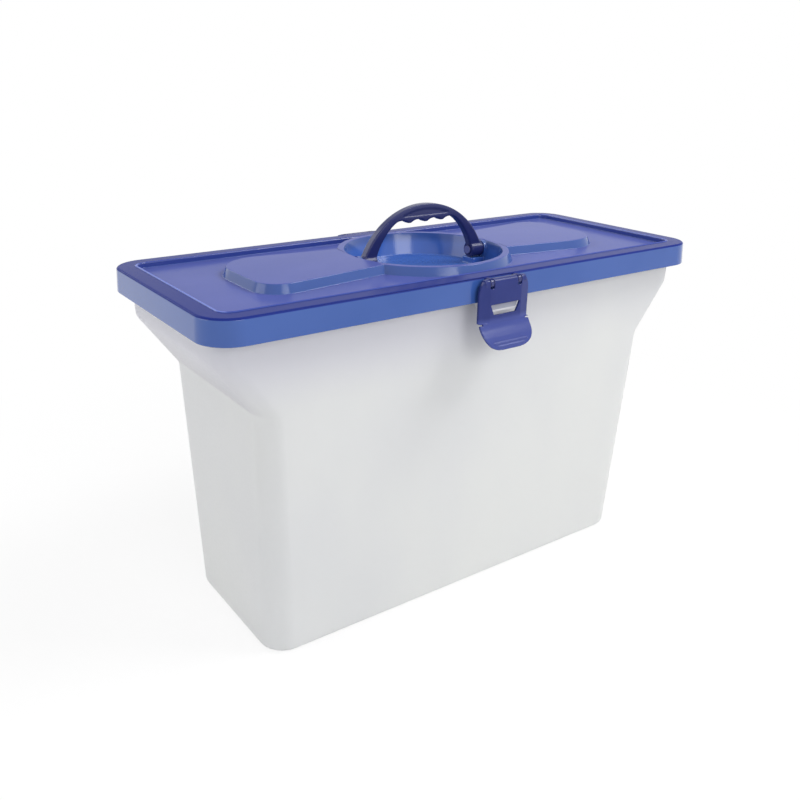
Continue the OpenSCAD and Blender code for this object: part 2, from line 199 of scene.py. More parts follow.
# --------------------------------------------------------------------- tub
# A deep tub in natural frosted polypropylene, injection moulded in one piece. Its two ends
# step out over a slope to carry the folders, and its rim turns down in a lip under the lid.
mm = 0.001
tub_wall, tub_top = 2 * mm, 265.1 * mm
base_l, base_w, base_r, base_edge = 360 * mm, 136 * mm, 20 * mm, 4 * mm
rim_l, rim_w, rim_r, rim_edge = 420 * mm, 161.5 * mm, 14 * mm, 0.8 * mm
lip_l, lip_w, lip_r, lip_h = 432.8 * mm, 176.8 * mm, 20.4 * mm, 8 * mm
corner_steps = 10


def pick(kind, test):
    """Selects the vertices, edges or faces of the open mesh whose middle and direction pass."""
    bpy.ops.mesh.select_mode(type=kind)
    bpy.ops.mesh.select_all(action="DESELECT")
    shape = bmesh.from_edit_mesh(bpy.context.object.data)
    for part in {"VERT": shape.verts, "EDGE": shape.edges, "FACE": shape.faces}[kind]:
        if kind == "VERT":
            part.select_set(test(part.co, part.normal))
        elif kind == "EDGE":
            start, end = (corner.co for corner in part.verts)
            part.select_set(test((start + end) / 2, (end - start).normalized()))
        else:
            part.select_set(test(part.calc_center_median(), part.normal))
    shape.select_flush_mode()
    bmesh.update_edit_mesh(bpy.context.object.data)


def rounded_sheet(name, z, length, width, radius):
    """Starts a piece as a flat sheet with round corners, and leaves it selected."""
    bpy.ops.object.select_all(action="DESELECT")
    bpy.ops.mesh.primitive_plane_add(size=1, location=(0, 0, 0))
    piece = bpy.context.object
    piece.name = name
    bpy.ops.object.mode_set(mode="EDIT")
    bpy.ops.mesh.select_mode(type="VERT")
    bpy.ops.transform.resize(value=(length, width, 1))
    bpy.ops.transform.translate(value=(0, 0, z))
    bpy.ops.mesh.bevel(offset=radius, affect="VERTICES", segments=corner_steps)
    bpy.ops.mesh.select_all(action="SELECT")
    return piece, (z, length, width, radius)


def carry(level, z, length, width, radius):
    """Extrudes the sheet from its level to another, with another length, width and radius."""
    old_z, old_length, old_width, old_radius = level
    bpy.ops.mesh.extrude_region_move(TRANSFORM_OT_translate={"value": (0, 0, z - old_z)})
    shape = bmesh.from_edit_mesh(bpy.context.object.data)
    sheet = {corner.index for corner in shape.verts if corner.select}

    def hold(test):
        bpy.ops.mesh.select_all(action="DESELECT")
        shape = bmesh.from_edit_mesh(bpy.context.object.data)
        for corner in shape.verts:
            corner.select_set(corner.index in sheet and test(corner.co))
        shape.select_flush_mode()
        bmesh.update_edit_mesh(bpy.context.object.data)

    scale = radius / old_radius
    for sx in (-1, 1):
        for sy in (-1, 1):
            hold(lambda at: at.x * sx > 0 and at.y * sy > 0)
            was = Vector((sx * (old_length / 2 - old_radius), sy * (old_width / 2 - old_radius), z))
            now = Vector((sx * (length / 2 - radius), sy * (width / 2 - radius), z))
            bpy.ops.transform.resize(value=(scale, scale, 1), center_override=was)
            bpy.ops.transform.translate(value=now - was)
    hold(lambda at: True)
    return z, length, width, radius


def tub_width(z):
    """Width of the inside of the tub at a height."""
    return base_w + (rim_w - base_w) * z / tub_top - 2 * tub_wall


def tub_radius(z):
    """Corner radius of the inside of the tub at a height."""
    return base_r + (rim_r - base_r) * z / tub_top - tub_wall


# The sheet is the inside of the tub, the top of its rim and the outside of its lip.
inner_edge = base_edge - tub_wall
tub, level = rounded_sheet(
    "tub_shell", tub_wall,
    base_l - 2 * base_edge, tub_width(0) - 2 * inner_edge, tub_radius(0) - inner_edge,
)
for angle in (30, 60, 90):
    drawn = inner_edge * (1 - math.sin(math.radians(angle)))
    z = tub_wall + inner_edge * (1 - math.cos(math.radians(angle)))
    inner_l = base_l - 2 * tub_wall - 2 * drawn
    level = carry(level, z, inner_l, tub_width(z) - 2 * drawn, tub_radius(z) - drawn)
# Heights and lengths of the inside, in mm: round into the slope, up it, and round to the ledge.
for z, length in (
    (190.6, 359.9), (193.1, 361.2), (195.2, 363.8), (230.8, 413.2), (233.1, 415.5), (235.9, 416),
):
    level = carry(level, z * mm, length * mm, tub_width(z * mm), tub_radius(z * mm))
mouth_l, mouth_w, mouth_r = rim_l - 2 * tub_wall, tub_width(tub_top), tub_radius(tub_top)
for z, length, width, radius in (
    (tub_top - rim_edge, mouth_l, mouth_w, mouth_r),
    (tub_top, mouth_l + 2 * rim_edge, mouth_w + 2 * rim_edge, mouth_r + rim_edge),
    (tub_top, lip_l - 2 * rim_edge, lip_w - 2 * rim_edge, lip_r - rim_edge),
    (tub_top - rim_edge, lip_l, lip_w, lip_r),
    (tub_top - lip_h, lip_l, lip_w, lip_r),
):
    level = carry(level, z, length, width, radius)
bpy.ops.mesh.delete(type="ONLY_FACE")
bpy.ops.object.mode_set(mode="OBJECT")


def hold_alone(piece):
    """Makes a piece the active one, and the only one selected."""
    bpy.ops.object.select_all(action="DESELECT")
    bpy.context.view_layer.objects.active = piece
    piece.select_set(True)


def thicken(piece, thickness, looks_out):
    """Gives a sheet its wall behind it, after its largest face shows which side is its front."""
    hold_alone(piece)
    bpy.ops.object.mode_set(mode="EDIT")
    bpy.ops.mesh.select_all(action="SELECT")
    bpy.ops.mesh.remove_doubles(threshold=0.01 * mm)
    bpy.ops.mesh.normals_make_consistent(inside=False)
    largest = max(bmesh.from_edit_mesh(piece.data).faces, key=lambda face: face.calc_area())
    if not looks_out(largest.calc_center_median(), largest.normal):
        bpy.ops.mesh.flip_normals()
    bpy.ops.object.mode_set(mode="OBJECT")
    wall = piece.modifiers.new("wall", "SOLIDIFY")
    wall.thickness, wall.offset, wall.use_even_offset = thickness, -1, True
    bpy.ops.object.modifier_apply(modifier="wall")


thicken(tub, tub_wall, lambda at, normal: at.y * normal.y < 0)


def block(name, low, high):
    """A box between two corners, in its own mesh."""
    bpy.ops.object.select_all(action="DESELECT")
    bpy.ops.mesh.primitive_cube_add(size=1)
    made = bpy.context.object
    made.name = name
    size = [b - a for a, b in zip(low, high)]
    bpy.ops.object.mode_set(mode="EDIT")
    bpy.ops.transform.resize(value=size)
    bpy.ops.transform.translate(value=[(a + b) / 2 for a, b in zip(low, high)])
    bpy.ops.object.mode_set(mode="OBJECT")
    return made


def combine(piece, tool, operation):
    """Adds a tool to a piece, or cuts it out, and uses the tool up."""
    hold_alone(piece)
    step = piece.modifiers.new("combine", "BOOLEAN")
    step.operation, step.object, step.solver = operation, tool, "EXACT"
    bpy.ops.object.modifier_apply(modifier="combine")
    bpy.data.objects.remove(tool)


def narrow_below(piece, z, share):
    """Draws in the corners of a block that lie below a height, to a share of its length."""
    bpy.ops.object.mode_set(mode="EDIT")
    pick("VERT", lambda at, normal: at.z < z)
    bpy.ops.transform.resize(value=(share, 1, 1), center_override=(0, 0, 0))
    bpy.ops.object.mode_set(mode="OBJECT")


def turn_round(piece):
    """Turns a piece half round the middle of the box, to its other long side."""
    hold_alone(piece)
    piece.rotation_euler = (0, 0, math.pi)
    bpy.ops.object.transform_apply(location=True, rotation=True, scale=True)


# A catch for a latch on each long wall: a small hood, wider at its top and open below.
catch_half, catch_low, catch_high = 13 * mm, 242.6 * mm, 248 * mm
catch_out, catch_root = 96.7 * mm, 77 * mm
catch_share = 0.86
hollow_half, hollow_out, hollow_root = 9.6 * mm, 94.9 * mm, 82 * mm
hollow_low, hollow_high = 240 * mm, 246 * mm
catches = []
for _ in range(2):
    hood = block("catch", (-catch_half, -catch_out, catch_low), (catch_half, -catch_root, catch_high))
    narrow_below(hood, (catch_low + catch_high) / 2, catch_share)
    inside = block(
        "hollow", (-hollow_half, -hollow_out, hollow_low), (hollow_half, -hollow_root, hollow_high)
    )
    combine(hood, inside, "DIFFERENCE")
    catches.append(hood)
turn_round(catches[1])
for hood in catches:
    combine(tub, hood, "UNION")


def soften(piece, width, steps):
    """Rounds the sharp edges of a piece, as a mould does, and keeps its flats flat."""
    hold_alone(piece)
    bpy.ops.object.mode_set(mode="EDIT")
    bpy.ops.mesh.select_all(action="SELECT")
    bpy.ops.mesh.remove_doubles(threshold=0.02 * mm)
    bpy.ops.object.mode_set(mode="OBJECT")
    edge = piece.modifiers.new("edge", "BEVEL")
    edge.width, edge.segments, edge.limit_method = width, steps, "ANGLE"
    edge.angle_limit = math.radians(35)
    edge.use_clamp_overlap = False
    edge.miter_outer = "MITER_ARC"
    bpy.ops.object.modifier_apply(modifier="edge")
    bpy.ops.object.shade_smooth_by_angle(angle=math.radians(40))
    flats = piece.modifiers.new("flats", "WEIGHTED_NORMAL")
    flats.keep_sharp = True
    bpy.ops.object.modifier_apply(modifier="flats")


soften(tub, 0.5 * mm, 2)


def finish_of(piece, body, slot, *nodes):
    """A finished piece rides with its body and stands for its solids."""
    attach(piece, body)
    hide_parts(*nodes)


finish_of(tub, "tub", "tub_plastic", "tub")


def new_plastic(name, roughness):
    """Starts a plastic: its shader and the place on the piece, in metres."""
    material = bpy.data.materials.new(name)
    material.use_nodes = True
    shader = material.node_tree.nodes["Principled BSDF"]
    shader.inputs["IOR"].default_value = 1.49
    shader.inputs["Roughness"].default_value = roughness
    place = Shade(material.node_tree.nodes.new("ShaderNodeTexCoord").outputs["Object"])
    return material, shader, place


def dress(thing, material):
    """Gives a piece its only material."""
    thing.data.materials.clear()
    thing.data.materials.append(material)


# The wall lets some light through. Painted shade darkens it where the slopes of the ends are seen
# through each other, a bluish painted shade lies near the lid, most on the left, and the face of each
# catch is painted dark as the shade of its latch.
frosted, shader, place = new_plastic("frosted_polypropylene", 0.42)
shader.inputs["Transmission Weight"].default_value = 0.3
x, y, z = place.axes()
flow = place.noise(7.0, 3.0, 0.5, (1, 1, 0.6)).spread()
tone = flow.blend((0.80, 0.81, 0.82, 1), (0.85, 0.86, 0.85, 1))
# Painted shade on the slopes of the ends, where they are seen through each other.
slope_painted_shade = (
    y.size().fall(60 * mm, 76 * mm)
    * z.span(192 * mm, 196 * mm)
    * z.fall(233 * mm, 236 * mm)
)
tone = slope_painted_shade.blend(tone, (0.69, 0.69, 0.725, 1))
# Painted bluish shade below the lid, most on the left.
lid_painted_shade = z.span(190 * mm, 238 * mm) * x.span(-100 * mm, 160 * mm, 0.85, 0.25)
tone = lid_painted_shade.blend(tone, (0.715, 0.715, 0.785, 1))
# The face of each catch is painted dark as the shade of its latch.
catch_painted_shade = (
    y.size().span(86 * mm, 88 * mm)
    * x.size().fall(catch_half + 0.2 * mm, catch_half + 0.6 * mm)
    * z.span(catch_low + 1.6 * mm, catch_low + 1.9 * mm)
    * z.fall(catch_high + 0.3 * mm, catch_high + 0.6 * mm)
)
tone = catch_painted_shade.blend(tone, (0.40, 0.41, 0.51, 1))
place.feed(shader.inputs["Base Color"], tone)
place.feed(shader.inputs["Roughness"], place.noise(420.0).spread(0.36, 0.46))
place.feed(shader.inputs["Normal"], place.noise(2600.0).bump(0.12, 0.08 * mm))
dress(tub, frosted)

# --------------------------------------------------------------------- lid
# A shallow lid in translucent blue polypropylene. A raised border runs round a sunken panel,
# and a plateau with a round well for the handle stands on the panel. One moulding, 2 mm thick.
lid_l, lid_w, lid_r, lid_wall = 440 * mm, 184 * mm, 24 * mm, 2 * mm
skirt_z, lid_top = 250 * mm, 267.4 * mm
panel_z, plateau_z, well_floor = 263.8 * mm, 270.5 * mm, 253 * mm
lid_edge, hollow_edge, skirt_draft = 1.8 * mm, 0.5 * mm, 1 * mm
edge_turns = range(0, 91, 15)
border, bead_h = 16 * mm, 0.6 * mm
# Distances from the panel's edge back over the bead, in mm, each with its share of the bead's height.
bead_rows = ((2.2, 0), (1.6, 1), (0.7, 1))

# The plateau: a ring round the well and an arm to each end. Their slopes start a little below
# the top of the panel, so that they cut into it cleanly.
ring_r, run, rise, sunk = 67 * mm, 3 * mm, plateau_z - panel_z, 1.34 * mm
arm_l, arm_half, arm_neck = 159 * mm, 47 * mm, 23 * mm
arm_r, arm_big_r = 22 * mm, 38 * mm
well_r, well_floor_r = 62.3 * mm, 57.2 * mm
well_slope = (well_r - well_floor_r) / (plateau_z - well_floor)


def cone(name, low_r, high_r, low_z, high_z):
    """A round plug between two heights."""
    bpy.ops.object.select_all(action="DESELECT")
    bpy.ops.mesh.primitive_cone_add(
        vertices=128, radius1=low_r, radius2=high_r, depth=high_z - low_z,
        location=(0, 0, (low_z + high_z) / 2),
    )
    bpy.ops.object.transform_apply(location=True, rotation=True, scale=True)
    made = bpy.context.object
    made.name = name
    return made


def arm(side, drawn, low_z, high_z):
    """One arm of the plateau: wide at the end of the lid, narrow at the well, one corner rounder."""
    grown = (run - drawn) + sunk * run / rise
    slant = (arm_half - arm_neck) / arm_l
    end_x = arm_l + grown
    bpy.ops.object.select_all(action="DESELECT")
    bpy.ops.mesh.primitive_plane_add(size=1)
    made = bpy.context.object
    made.name = "plateau_arm"
    bpy.ops.object.mode_set(mode="EDIT")
    bpy.ops.transform.resize(value=(end_x, 2, 1))
    bpy.ops.transform.translate(value=(side * end_x / 2, 0, low_z))
    wider = grown * math.hypot(1, slant)
    for x, half in ((end_x, arm_half + wider + grown * slant), (0, arm_neck + wider)):
        pick("VERT", lambda at, normal: abs(at.x - side * x) < mm)
        bpy.ops.transform.resize(value=(1, half, 1), center_override=(side * x, 0, 0))
    pick("VERT", lambda at, normal: abs(at.x) > arm_l / 2 and at.y * side > 0)
    bpy.ops.mesh.bevel(offset=arm_r + grown, affect="VERTICES", segments=12)
    pick("VERT", lambda at, normal: abs(at.x) > arm_l / 2 and at.y * side < mm - arm_half)
    bpy.ops.mesh.bevel(offset=arm_big_r + grown, affect="VERTICES", segments=16)
    pick("FACE", lambda at, normal: True)
    bpy.ops.mesh.inset(thickness=grown + drawn, depth=high_z - low_z)
    pick("EDGE", lambda at, along: at.z < low_z + 0.01 * mm and abs(along.z) < 0.1)
    bpy.ops.mesh.edge_face_add()
    bpy.ops.mesh.select_all(action="SELECT")
    bpy.ops.mesh.normals_make_consistent(inside=False)
    bpy.ops.object.mode_set(mode="OBJECT")
    return made


def lid_form(name, drawn, low_z, fillet, raised):
    """The outer form of the lid as a block, or the hollow below it when drawn in by the wall."""

    def lid_sheet(level, z, lean):
        return carry(level, z, lid_l - 2 * lean, lid_w - 2 * lean, lid_r - lean)

    top, inner = lid_top - drawn, border - drawn
    form, level = rounded_sheet(name, low_z, lid_l - 2 * drawn, lid_w - 2 * drawn, lid_r - drawn)
    if drawn:
        level = lid_sheet(level, skirt_z, drawn)
    for angle in edge_turns:
        lean = drawn + skirt_draft + fillet * (1 - math.cos(math.radians(angle)))
        level = lid_sheet(level, top - fillet * (1 - math.sin(math.radians(angle))), lean)
    if raised:
        for back, up in bead_rows:
            level = lid_sheet(level, top + up * raised, inner - back * mm)
    level = lid_sheet(level, top, inner)
    level = lid_sheet(level, panel_z - drawn, inner)
    bpy.ops.mesh.select_all(action="SELECT")
    bpy.ops.mesh.normals_make_consistent(inside=False)
    bpy.ops.object.mode_set(mode="OBJECT")
    low, high = panel_z - drawn - sunk, plateau_z - drawn
    ring_foot_r = ring_r + run - drawn + sunk * run / rise
    combine(form, cone("ring", ring_foot_r, ring_r - drawn, low, high), "UNION")
    for side in (-1, 1):
        combine(form, arm(side, drawn, low, high), "UNION")
    return form


lid = lid_form("lid_shell", 0, skirt_z, lid_edge, bead_h)
well = cone("well", well_floor_r, well_r + well_slope * mm, well_floor, plateau_z + mm)
combine(lid, well, "DIFFERENCE")
# The hollow keeps clear of the well's own wall and floor.
hollow = lid_form("hollow", lid_wall, skirt_z - 3 * mm, hollow_edge, 0)
shell_low, shell_h = well_floor - lid_wall, 30 * mm
shell_r = well_floor_r + lid_wall - well_slope * lid_wall
shell = cone("well_shell", shell_r, shell_r + well_slope * shell_h, shell_low, shell_low + shell_h)
combine(hollow, shell, "DIFFERENCE")
combine(lid, hollow, "DIFFERENCE")


def to_side(side, near, far):
    """Two distances to the left or the right of the middle, in rising order."""
    return sorted((side * near, side * far))


def round_edges(radius, steps, test):
    """Rounds the edges of the block made last, where they pass a test."""
    bpy.ops.object.mode_set(mode="EDIT")
    pick("EDGE", test)
    bpy.ops.mesh.bevel(offset=radius, affect="EDGES", segments=steps)
    bpy.ops.object.mode_set(mode="OBJECT")


# Brackets on the wall of the well: a pad with a round top beside each foot of the handle, and
# a step below it.
pivot_z = 264 * mm
foot_in, foot_out, foot_gap = 46.1 * mm, 58.1 * mm, 0.3 * mm
pad_half, pad_low, pad_back = 6.4 * mm, 252.1 * mm, 63.2 * mm
step_half, step_low, step_high, step_back = 6.5 * mm, 252.2 * mm, 257.7 * mm, 63 * mm
for side in (-1, 1):
    near, far = to_side(side, foot_out + foot_gap, pad_back)
    pad = block("pad", (near, -pad_half, pad_low), (far, pad_half, pivot_z + pad_half))
    round_edges(6.3 * mm, 10, lambda at, along: at.z > pivot_z and abs(along.x) > 0.9)
    combine(lid, pad, "UNION")
    near, far = to_side(side, foot_in, step_back)
    combine(lid, block("step", (near, -step_half, step_low), (far, step_half, step_high)), "UNION")

# Two ears on each long skirt hold the rod of a latch.
hinge_y, hinge_z = 95.5 * mm, 263.8 * mm
ear_in, ear_out, ear_root, ear_half = 11.3 * mm, 14.3 * mm, 90.6 * mm, 3.15 * mm
for turn in (-1, 1):
    for side in (-1, 1):
        left, right = to_side(side, ear_in, ear_out)
        front, back = to_side(turn, hinge_y + ear_half, ear_root)
        ear = block("ear", (left, front, hinge_z - ear_half), (right, back, hinge_z + ear_half))
        round_edges(3.1 * mm, 6, lambda at, along: abs(at.y) > 98 * mm and abs(along.x) > 0.9)
        combine(lid, ear, "UNION")
soften(lid, 0.5 * mm, 3)
finish_of(lid, "lid", "lid_plastic", "lid")

# The skirt, the slopes and the well are glossy and a clear blue, and painted light makes the well
# paler. The flats are dull and painted a lighter violet as painted light that passes through the lid;
# the border is darkened by painted shade, the foot of its step has a line of painted shade, the bead is
# a painted highlight, most at the two ends, and the ears are painted dark as shade in the latch's
# slots.
blue, shader, place = new_plastic("blue_polypropylene", 0.2)
shader.inputs["Specular IOR Level"].default_value = 0.025
shader.inputs["Coat Roughness"].default_value = 0.14
x, y, z = place.axes()
past_x, past_y = x.size() - (lid_l / 2 - lid_r), y.size() - (lid_w / 2 - lid_r)
past = place.node("ShaderNodeCombineXYZ", None, {0: past_x, 1: past_y})
past = place.node("ShaderNodeVectorMath", {"operation": "MAXIMUM"}, {0: past, 1: (0, 0, 0)})
# How far a place lies outside the panel, and the square of its distance from the well's middle,
# with the squares of 61.6, 64 and 65.6 mm, in square metres.
out = past.length() - (lid_r - border)
off_middle = x * x + y * y
near_well, beside_well, past_well = 0.0038, 0.0041, 0.0043
on_top = z.span(lid_top - 1.5 * mm, lid_top - 0.9 * mm)
# Painted shade darkens the border where it lies doubled over the tub's rim; it has no coat.
border_uncoated_painted_shade = on_top * out.span(1.9 * mm, 2.3 * mm)
# The bead is a painted highlight, lightest at the two ends, and has no coat.
bead_uncoated_painted_highlight = on_top * out.span(0.3 * mm, 0.6 * mm) * out.fall(1.7 * mm, 2.1 * mm)
# A line of painted shade in the corner at the foot of the border's step.
painted_corner_shade = (
    z.span(panel_z + 0.2 * mm, panel_z + 0.6 * mm)
    * out.span(-0.6 * mm, -0.3 * mm)
    * out.fall(0.4 * mm, 0.8 * mm)
)
on_panel = (
    (z - panel_z).size().fall(0.1 * mm, 0.35 * mm)
    * out.fall(0, 0.5 * mm)
    * off_middle.span(beside_well, past_well)
)
# The flats have no coat, and get painted light: a lighter violet for light that passes through the lid.
flat_uncoated_painted_light = on_panel.most(z.span(plateau_z - 0.4 * mm, plateau_z - 0.1 * mm))
# Painted light makes the well paler, as the lamps reach it less.
well_painted_light = z.fall(262 * mm, 268 * mm) * off_middle.fall(near_well, beside_well)
at_end = x.size().span(200 * mm, 203 * mm)
# The ears are painted dark, like the latch around them, as painted shade in its slots.
ear_painted_shade = y.size().span(92.2 * mm, 92.6 * mm)
flow = place.noise(9.0, 3.0, 0.55, (1, 1.6, 1)).spread()
tone = flow.blend((0.030, 0.083, 0.31, 1), (0.040, 0.097, 0.34, 1))
tone = well_painted_light.blend(tone, (0.045, 0.125, 0.45, 1))
tone = flat_uncoated_painted_light.blend(tone, flow.blend((0.083, 0.108, 0.36, 1), (0.095, 0.120, 0.39, 1)))
tone = border_uncoated_painted_shade.blend(tone, (0.016, 0.030, 0.21, 1))
tone = painted_corner_shade.blend(tone, (0.032, 0.056, 0.27, 1))
tone = bead_uncoated_painted_highlight.blend(tone, at_end.blend((0.055, 0.080, 0.38, 1), (0.17, 0.22, 0.62, 1)))
tone = ear_painted_shade.blend(tone, (0.018, 0.024, 0.13, 1))
place.feed(shader.inputs["Base Color"], tone)
place.feed(shader.inputs["Coat Weight"], 1 - flat_uncoated_painted_light.most(border_uncoated_painted_shade).most(bead_uncoated_painted_highlight))
place.feed(shader.inputs["Roughness"], place.noise(300.0).spread(0.17, 0.24))
place.feed(shader.inputs["Normal"], place.noise(14.0, 1.0).bump(0.05, 0.4 * mm))
dress(lid, blue)

# ------------------------------------------------------------------ handle
# An arch handle in dark navy polypropylene, moulded in one piece: a crescent with four finger
# scallops under the grip, a shallow recess on both of its faces, and a round foot at each end.
arch_r, arch_h, handle_t, foot_r = 62 * mm, 41 * mm, 7 * mm, 6 * mm
arch_z = pivot_z + arch_h - arch_r
inside_r, inside_z, grip_z = 48 * mm, pivot_z - 10.4 * mm, pivot_z + 27.5 * mm
finger_r, finger_pitch, finger_z = 10 * mm, 15.4 * mm, pivot_z + 19.7 * mm
recess_r, recess_d, recess_z = 58.4 * mm, 0.9 * mm, pivot_z + 32.2 * mm


def drum(name, radius, y_low, y_high, x, z, steps):
    """A round plug from front to back."""
    bpy.ops.object.select_all(action="DESELECT")
    bpy.ops.mesh.primitive_cylinder_add(
        vertices=steps, radius=radius, depth=y_high - y_low,
        location=(x, (y_low + y_high) / 2, z), rotation=(math.pi / 2, 0, 0),
    )
    bpy.ops.object.transform_apply(location=True, rotation=True, scale=True)
    made = bpy.context.object
    made.name = name
    return made


def bar(name, radius, x_low, x_high, y, z, steps=64):
    """A round bar along the length of the box."""
    bpy.ops.object.select_all(action="DESELECT")
    bpy.ops.mesh.primitive_cylinder_add(
        vertices=steps, radius=radius, depth=x_high - x_low,
        location=((x_low + x_high) / 2, y, z), rotation=(0, math.pi / 2, 0),
    )
    bpy.ops.object.transform_apply(location=True, rotation=True, scale=True)
    made = bpy.context.object
    made.name = name
    return made


def trim(piece, at, normal):
    """Cuts off what lies beyond a plane, on the side that its normal shows, and closes the cut."""
    hold_alone(piece)
    bpy.ops.object.mode_set(mode="EDIT")
    bpy.ops.mesh.select_all(action="SELECT")
    bpy.ops.mesh.bisect(plane_co=at, plane_no=normal, use_fill=True, clear_outer=True)
    bpy.ops.object.mode_set(mode="OBJECT")


handle = drum("handle_arch", arch_r, -handle_t / 2, handle_t / 2, 0, arch_z, 192)
trim(handle, (0, 0, pivot_z), (0, 0, -1))
for side in (-1, 1):
    trim(handle, (side * foot_out, 0, 0), (side, 0, 0))
inside = drum("inside", inside_r, -handle_t, handle_t, 0, inside_z, 192)
trim(inside, (0, 0, grip_z), (0, 0, 1))
# The fingers end short of the faces of the plug they join, so that no two faces coincide.
finger_y = 0.99 * handle_t
for index in range(4):
    finger_x = (index - 1.5) * finger_pitch
    combine(inside, drum("finger", finger_r, -finger_y, finger_y, finger_x, finger_z, 64), "UNION")
combine(handle, inside, "DIFFERENCE")
for side in (-1, 1):
    recess = drum("recess", recess_r, -recess_d, recess_d, 0, arch_z, 160)
    trim(recess, (0, 0, recess_z), (0, 0, -1))
    bpy.ops.object.mode_set(mode="EDIT")
    bpy.ops.mesh.select_all(action="SELECT")
    bpy.ops.transform.translate(value=(0, side * handle_t / 2, 0))
    bpy.ops.object.mode_set(mode="OBJECT")
    combine(handle, recess, "DIFFERENCE")
for side in (-1, 1):
    near, far = to_side(side, foot_in, foot_out)
    combine(handle, bar("foot", foot_r, near, far, 0, pivot_z), "UNION")


def melt(piece, grid, rounds):
    """Turns a piece into an even fine mesh and lets its edges sink into soft mould radii."""
    hold_alone(piece)
    remesh = piece.modifiers.new("grid", "REMESH")
    remesh.mode, remesh.voxel_size, remesh.use_smooth_shade = "VOXEL", grid, True
    bpy.ops.object.modifier_apply(modifier="grid")
    sink = piece.modifiers.new("sink", "SMOOTH")
    sink.factor, sink.iterations = 0.5, rounds
    bpy.ops.object.modifier_apply(modifier="sink")
    bpy.ops.object.shade_smooth()


melt(handle, 0.45 * mm, 14)
finish_of(handle, "handle", "handle_plastic", "handle")

# The top of the grip is painted a little paler than the rest, a painted highlight of the light from
# above on its rounding.
navy, shader, place = new_plastic("navy_polypropylene", 0.2)
shader.inputs["Specular IOR Level"].default_value = 0.22
z = place.axes()[2]
tone = place.noise(40.0).blend((0.014, 0.020, 0.095, 1), (0.022, 0.028, 0.13, 1))
# Painted highlight on the top of the grip.
tone = z.span(294 * mm, 300 * mm).blend(tone, (0.036, 0.042, 0.13, 1))
place.feed(shader.inputs["Base Color"], tone)
place.feed(shader.inputs["Roughness"], place.noise(400.0).spread(0.16, 0.24))
place.feed(shader.inputs["Normal"], place.noise(90.0, 1.0).bump(0.1, 0.1 * mm))
dress(handle, navy)

# ----------------------------------------------------------------- latches
# A latch in darker blue polypropylene hangs on each long side of the lid: an open shell that
# turns on a rod at its top, with a window for the catch and a tab for a finger below. The front
# one is modelled, and the back one is the same moulding turned round.
face_y = -lid_w / 2
latch_w, latch_wall, latch_r, flat_w = 46 * mm, 1.9 * mm, 11 * mm, 28.8 * mm
shell_out, shell_back, shell_top, side_slope = 6.7 * mm, 2.4 * mm, 267 * mm, 2.2 * mm
tab_z, tab_h, tab_out, tab_lap = 235 * mm, 17.5 * mm, 9 * mm, 0.9 * mm
cut_front = face_y - 12 * mm


def shell_form(name, drawn, low_z, back_y):
    """The outer form of the shell, or its hollow when drawn in by the wall."""
    half, front = latch_w / 2 - drawn, face_y - shell_out + drawn
    form = block(name, (-half, front, low_z), (half, back_y, shell_top - drawn))
    bpy.ops.object.mode_set(mode="EDIT")
    for side in (-1, 1):
        bpy.ops.mesh.select_all(action="SELECT")
        bpy.ops.mesh.bisect(plane_co=(side * flat_w / 2, 0, 0), plane_no=(1, 0, 0))
    pick("VERT", lambda at, normal: abs(at.x) > half - mm and at.y < front + mm)
    bpy.ops.transform.translate(value=(0, side_slope, 0))
    bpy.ops.object.mode_set(mode="OBJECT")
    round_edges(
        latch_r - drawn, 10,
        lambda at, along: abs(at.x) > half - mm and at.z > shell_top - 3 * mm and abs(along.y) > 0.9,
    )
    return form


latch = shell_form("latch_front", 0, tab_z, face_y - shell_back)
hollow = shell_form("latch_hollow", latch_wall, tab_z - 2 * mm, face_y)
combine(latch, hollow, "DIFFERENCE")


def tab_y(depth):
    """How far the face of the tab stands out at a depth below the shell."""
    return face_y - shell_out - tab_out * (1 - math.cos(math.pi * (depth / tab_h) ** 0.75)) / 2


# The tab starts as a strip that laps the foot of the shell. Its edge is carried down in rows.
bpy.ops.object.select_all(action="DESELECT")
bpy.ops.mesh.primitive_plane_add(size=1)
tab = bpy.context.object
bpy.ops.object.mode_set(mode="EDIT")
pick("VERT", lambda at, normal: at.y > 0)
bpy.ops.transform.translate(value=(0, face_y - shell_out - 0.5, tab_z + tab_lap))
pick("VERT", lambda at, normal: at.z < mm)
bpy.ops.transform.translate(value=(0, face_y - shell_out + 0.5, tab_z))
bpy.ops.mesh.select_all(action="SELECT")
bpy.ops.transform.resize(value=(latch_w, 1, 1), center_override=(0, 0, 0))
pick("EDGE", lambda at, along: at.z < tab_z + 0.1 * mm and abs(along.x) > 0.9)
# In mm: the length of the tab's straight sides, the radius below them and half of its flat end.
tab_side, tab_r, tab_end = 3.5, 14, 9
tab_half = 23 * mm
rows = [(depth * mm, tab_half) for depth in (1.2, 2.4, tab_side)]
for step in range(1, 10):
    angle = math.radians(10 * step)
    rows.append(((tab_side + tab_r * math.sin(angle)) * mm, (tab_end + tab_r * math.cos(angle)) * mm))
depth, half = 0, tab_half
for next_depth, next_half in rows:
    move = (0, tab_y(next_depth) - tab_y(depth), depth - next_depth)
    bpy.ops.mesh.extrude_region_move(TRANSFORM_OT_translate={"value": move})
    bpy.ops.transform.resize(value=(next_half / half, 1, 1), center_override=(0, 0, 0))
    depth, half = next_depth, next_half
bpy.ops.object.mode_set(mode="OBJECT")
thicken(tab, latch_wall, lambda at, normal: normal.y < 0)
combine(latch, tab, "UNION")

